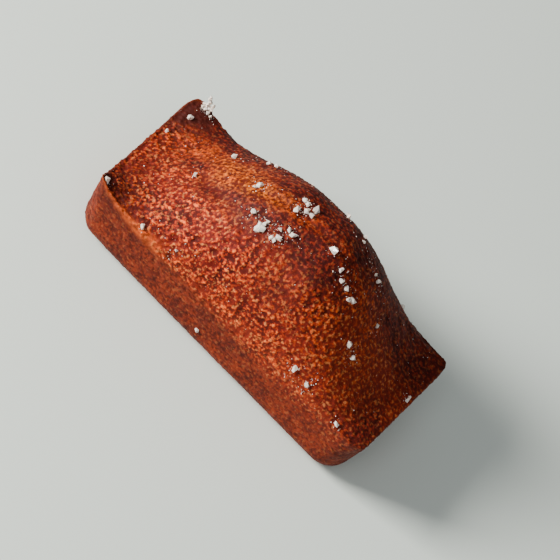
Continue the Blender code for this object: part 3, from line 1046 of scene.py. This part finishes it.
def crystal_tree():
    """A tree that puts a crystal on every point, as large as the point's stored size."""
    tree, given = new_tree("coarse sugar", {"Corners": 18, "Seed": 3})
    blocks = hulls(tree, CRYSTAL_KINDS, given.outputs["Corners"], given.outputs["Seed"])
    seats = given.outputs["Geometry"]
    grown = set_on_points(tree, seats, blocks, CRYSTAL_KINDS, stored(tree, "size"), given.outputs["Seed"])
    end_tree(tree, grown, SUGAR)
    return tree


# %% Put the coarse sugar in its places
CRYSTAL_FULLNESS = 1.1


def sugar_points():
    """The seats of the coarse crystals, as loose points with their sizes."""
    seats, sizes = [], []
    for u, v, size in sugar_places():
        x, y = rim_plan(u, v)
        seats.append(Vector((x, y, crust_height(x, y))) + crust_normal(x, y) * size * SUGAR_STAND)
        sizes.append(CRYSTAL_FULLNESS * size)
    u, height, size = SUGAR_ON_WALL
    seats.append(Vector(wall_point(u, -1, height)) + Vector((0, -1, 0)) * size * SUGAR_STAND)
    sizes.append(CRYSTAL_FULLNESS * size)
    x, y = rim_plan(*STACK_FOOT)
    foot = Vector((x, y, crust_height(x, y)))
    for along, above, size in SUGAR_STACK:
        seats.append(foot + Vector((along, 0, above + size * SUGAR_STAND)))
        sizes.append(CRYSTAL_FULLNESS * size)
    mesh = bpy.data.meshes.new("sugar seats")
    mesh.from_pydata(seats, [], [])
    mesh.attributes.new("size", "FLOAT", "POINT").data.foreach_set("value", sizes)
    return mesh


coarse_sugar = grow("coarse_sugar", sugar_points(), crystal_tree())
print("coarse sugar:", len(coarse_sugar.data.polygons), "faces")

# %% [markdown]
# ## Fine sugar and crumbs
#
# Between the coarse crystals lies sugar dust, and round the rim lie crumbs that flaked off as the cake left
# its mould. Both are strewn over the crust by one tree, which scatters points where a mask is strong and puts
# a small block on each.

# %% Strew small grains where a mask is strong
GRAIN_KINDS = 4


def strew_tree(name, mask, material):
    """A tree that strews small blocks over a surface, thickest where the mask is 1."""
    sizes = {"Per Square Metre": 100000.0, "Smallest": 0.0003, "Largest": 0.0008, "Corners": 9, "Seed": 1}
    tree, given = new_tree(name, sizes)
    density = maths(tree, "MULTIPLY", stored(tree, mask), given.outputs["Per Square Metre"])
    values = {"Mesh": given.outputs["Geometry"], "Density": density, "Seed": given.outputs["Seed"]}
    points = add(tree, "GeometryNodeDistributePointsOnFaces", values).outputs["Points"]
    blocks = hulls(tree, GRAIN_KINDS, given.outputs["Corners"], given.outputs["Seed"])
    size = random_number(tree, given.outputs["Smallest"], given.outputs["Largest"], given.outputs["Seed"])
    end_tree(tree, set_on_points(tree, points, blocks, GRAIN_KINDS, size, given.outputs["Seed"]), material)
    return tree


def strew(name, mask, material, **sizes):
    """A piece of small blocks strewn over the crust."""
    return grow(name, crust.data.copy(), strew_tree(name.replace("_", " "), mask, material), **sizes)


sugar_dust = {"Per_Square_Metre": 2000000.0, "Smallest": 0.00015, "Largest": 0.0005, "Seed": 7}
fine_sugar = strew("fine_sugar", "sugar", SUGAR, **sugar_dust)
rim_crumbs = {"Per_Square_Metre": 25000.0, "Smallest": 0.0003, "Largest": 0.0006, "Seed": 4}
crumbs = strew("crumbs", "rim", CRUST, **rim_crumbs)
for piece in (fine_sugar, crumbs):
    print(piece.name, "has", len(piece.data.polygons), "faces")

# %% [markdown]
# ## Floor, light and camera
#
# The cake stands on a plain pale floor under soft studio light. The main light is low and to the left, so
# that the grain throws small shadows, and a weak, wide one lifts them.

# %% The floor
FLOOR_REACH = 1.5
FLOOR_COLOUR = (0.72, 0.80, 0.75, 1.0)


def make_floor():
    """A plain pale floor."""
    corners = [(FLOOR_REACH * x, FLOOR_REACH * y, 0) for x, y in ((-1, -1), (1, -1), (1, 1), (-1, 1))]
    mesh = bpy.data.meshes.new("floor")
    mesh.from_pydata(corners, [], [(0, 1, 2, 3)])
    floor = bpy.data.objects.new("floor", mesh)
    bpy.context.scene.collection.objects.link(floor)
    material = bpy.data.materials.new("floor")
    material.use_nodes = True
    shader = material.node_tree.nodes["Principled BSDF"]
    shader.inputs["Base Color"].default_value = FLOOR_COLOUR
    shader.inputs["Roughness"].default_value = 0.6
    mesh.materials.append(material)


make_floor()


# %% The lights
def add_light(name, towards, distance, size, power, colour):
    """A square soft light that stands off in a direction and faces the cake."""
    data = bpy.data.lights.new(name, "AREA")
    data.size = size
    data.energy = power
    data.color = colour
    light = bpy.data.objects.new(name, data)
    way = Vector(towards).normalized()
    light.location = way * distance
    light.rotation_euler = way.to_track_quat("Z", "Y").to_euler()
    bpy.context.scene.collection.objects.link(light)


def set_sky(strength, colour):
    """Even light from all round."""
    world = bpy.data.worlds.new("sky")
    world.use_nodes = True
    background = world.node_tree.nodes["Background"]
    background.inputs["Color"].default_value = (*colour, 1.0)
    background.inputs["Strength"].default_value = strength
    bpy.context.scene.world = world


add_light("key", (-0.82, -0.40, 0.44), 1.0, 0.35, 29.0, (1.0, 0.96, 0.90))
add_light("fill", (0.1, -0.7, 1.0), 1.4, 1.2, 6.0, (0.97, 0.99, 1.0))
set_sky(0.20, (1.0, 1.0, 1.0))

# %% The camera
CAMERA_PLACE = Vector((0.0391, -0.7724, 0.9282))
CAMERA_AIM = Vector((0.002, 0.0, 0.020))
CAMERA_ROLL = math.radians(-43.4)
CAMERA_LENS = 300.0


def make_camera():
    """A camera that looks at the cake, leaning over by its roll."""
    data = bpy.data.cameras.new("camera")
    data.lens = CAMERA_LENS
    data.sensor_width = 36.0
    data.clip_end = 10.0
    camera = bpy.data.objects.new("camera", data)
    back = (CAMERA_PLACE - CAMERA_AIM).normalized()
    level = Vector((0, 0, 1)).cross(back).normalized()
    rise = back.cross(level)
    up = rise * math.cos(CAMERA_ROLL) + level * math.sin(CAMERA_ROLL)
    right = up.cross(back)
    camera.matrix_world = Matrix.Translation(CAMERA_PLACE) @ Matrix((right, up, back)).transposed().to_4x4()
    bpy.context.scene.collection.objects.link(camera)
    bpy.context.scene.camera = camera


make_camera()

# %% [markdown]
# ## Tie the pieces to the solid
#
# The crust stands for the imported cake, and the sugar and crumbs ride with it.

# %% Ride and replace
for piece in (crust, coarse_sugar, fine_sugar, crumbs):
    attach(piece, "root")
for piece in (crust, coarse_sugar):
    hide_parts("financier")
